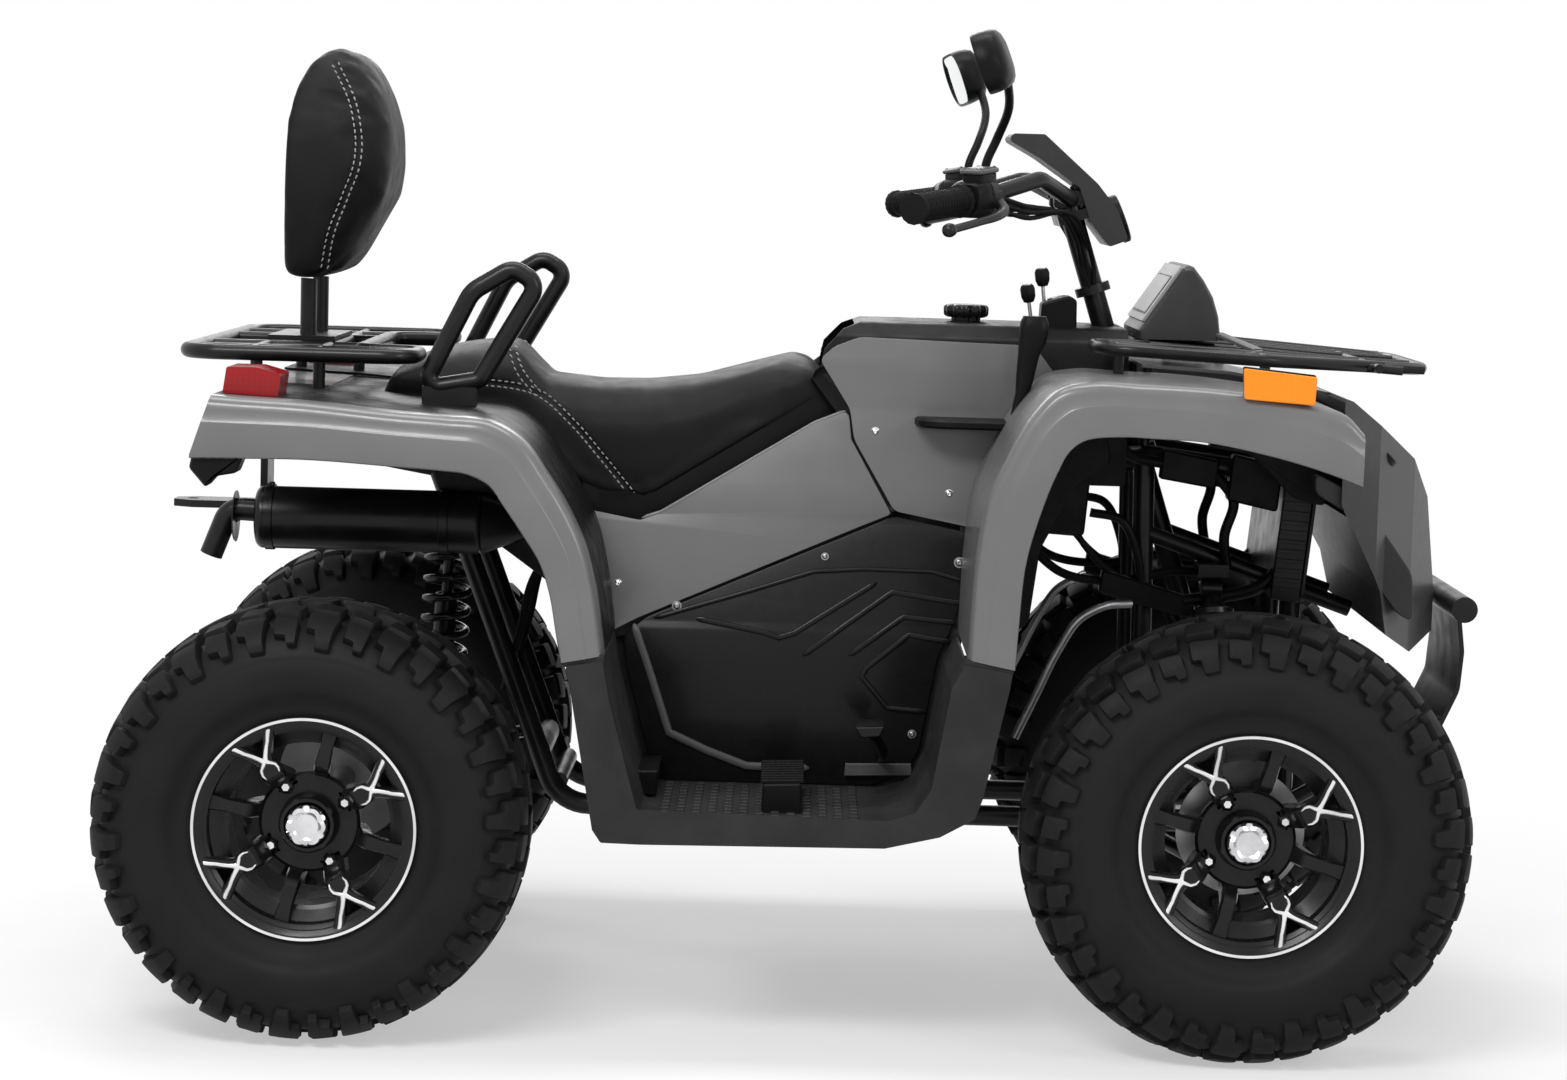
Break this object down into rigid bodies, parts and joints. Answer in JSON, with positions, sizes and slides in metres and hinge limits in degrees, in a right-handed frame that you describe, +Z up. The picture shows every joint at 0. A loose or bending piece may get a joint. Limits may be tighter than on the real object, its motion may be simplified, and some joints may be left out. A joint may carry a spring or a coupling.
{
  "type": "quad bike",
  "caption": "Utility quad bike with a two-up seat, passenger backrest, front and rear racks, footwells, mirrors and turning wheels and steering.",
  "frame": {"origin": "on the ground, under the middle of the overall length and width", "axes": "+X is forwards, +Y is the rider's left, +Z is up"},
  "size_m": [1.7797, 1.06, 1.2992],
  "materials": {
    "tyre_rubber": "moulded",
    "wheel_alloy": "painted black with machined edges",
    "bare_steel": "machined",
    "cast_part": "cast",
    "black_steel": "satin powder coat",
    "grip_rubber": "ribbed",
    "black_plastic": "grained",
    "dark_plastic": "grained",
    "body_grey": "gloss",
    "seat_vinyl": "grained vinyl",
    "spring_steel": "gloss",
    "clear_lens": "clear",
    "amber_lens": "moulded reflector",
    "red_lens": "moulded lens",
    "mirror_glass": "silvered"
  },
  "bodies": {
    "chassis": {"wishbones": "black_steel", "frame": "black_steel", "rear_rack": "black_steel", "grab_handles": "black_steel", "front_rack": "black_steel", "front_bumper": "black_steel", "tow_plate": "black_steel", "backrest_posts": "black_steel", "swingarm": "black_steel", "engine": "cast_part", "rear_shock": "spring_steel", "front_shocks": "spring_steel", "muffler": "black_steel", "front_fender": "body_grey", "rear_fender": "body_grey", "footwells": "dark_plastic", "side_covers": "black_plastic", "side_panels": "body_grey", "tank_cover": "black_plastic", "fuel_cap": "black_plastic", "seat": "seat_vinyl", "backrest": "seat_vinyl", "storage_pod": "black_plastic", "nose": "dark_plastic", "headlamps": "clear_lens", "side_reflectors": "amber_lens", "rear_lamps": "red_lens", "gear_lever": "black_plastic", "hood": "body_grey"},
    "steering": {"steering_column": "black_steel", "handlebar": "black_steel", "grips": "grip_rubber", "brake_levers": "black_plastic", "mirrors": "black_plastic", "mirror_glass": "mirror_glass", "bar_lamp": "black_plastic"},
    "knuckle_right": {"knuckle_right": "cast_part"},
    "knuckle_left": {"knuckle_left": "cast_part"},
    "tie_rod_right": {"tie_rod_right": "black_steel"},
    "tie_rod_left": {"tie_rod_left": "black_steel"},
    "wheel_front_right": {"hub_front_right": "bare_steel", "rim_front_right": "wheel_alloy", "tyre_front_right": "tyre_rubber"},
    "wheel_front_left": {"hub_front_left": "bare_steel", "rim_front_left": "wheel_alloy", "tyre_front_left": "tyre_rubber"},
    "rear_axle": {"rear_axle": "bare_steel", "rim_rear_right": "wheel_alloy", "tyre_rear_right": "tyre_rubber", "rim_rear_left": "wheel_alloy", "tyre_rear_left": "tyre_rubber"}
  },
  "joints": [
    {"name": "steer", "type": "hinge", "parent": "chassis", "child": "steering", "pos_m": [0.388, 0, 0.946], "axis": [-0.309, 0, 0.9511], "range_deg": [-38, 38]},
    {"name": "kingpin_right_turn", "type": "hinge", "parent": "chassis", "child": "knuckle_right", "pos_m": [0.567, -0.328, 0.286], "axis": [0, 0, 1], "range_deg": [-34, 34]},
    {"name": "kingpin_left_turn", "type": "hinge", "parent": "chassis", "child": "knuckle_left", "pos_m": [0.567, 0.328, 0.286], "axis": [0, 0, 1], "range_deg": [-34, 34]},
    {"name": "tie_rod_right_turn", "type": "hinge", "parent": "knuckle_right", "child": "tie_rod_right", "pos_m": [0.475, -0.322, 0.304], "axis": [0, 0, 1], "range_deg": [-34, 34]},
    {"name": "tie_rod_left_turn", "type": "hinge", "parent": "knuckle_left", "child": "tie_rod_left", "pos_m": [0.475, 0.322, 0.304], "axis": [0, 0, 1], "range_deg": [-34, 34]},
    {"name": "front_right_spin", "type": "hinge", "parent": "knuckle_right", "child": "wheel_front_right", "pos_m": [0.567, -0.415, 0.286], "axis": [0, 1, 0], "continuous": true},
    {"name": "front_left_spin", "type": "hinge", "parent": "knuckle_left", "child": "wheel_front_left", "pos_m": [0.567, 0.415, 0.286], "axis": [0, 1, 0], "continuous": true},
    {"name": "rear_axle_spin", "type": "hinge", "parent": "chassis", "child": "rear_axle", "pos_m": [-0.613, 0, 0.277], "axis": [0, 1, 0], "continuous": true}
  ],
  "couplings": [
    {"joint": "kingpin_right_turn", "follows": "steer", "ratio": 0.85},
    {"joint": "kingpin_left_turn", "follows": "steer", "ratio": 0.85},
    {"joint": "tie_rod_right_turn", "follows": "steer", "ratio": -0.85},
    {"joint": "tie_rod_left_turn", "follows": "steer", "ratio": -0.85}
  ]
}
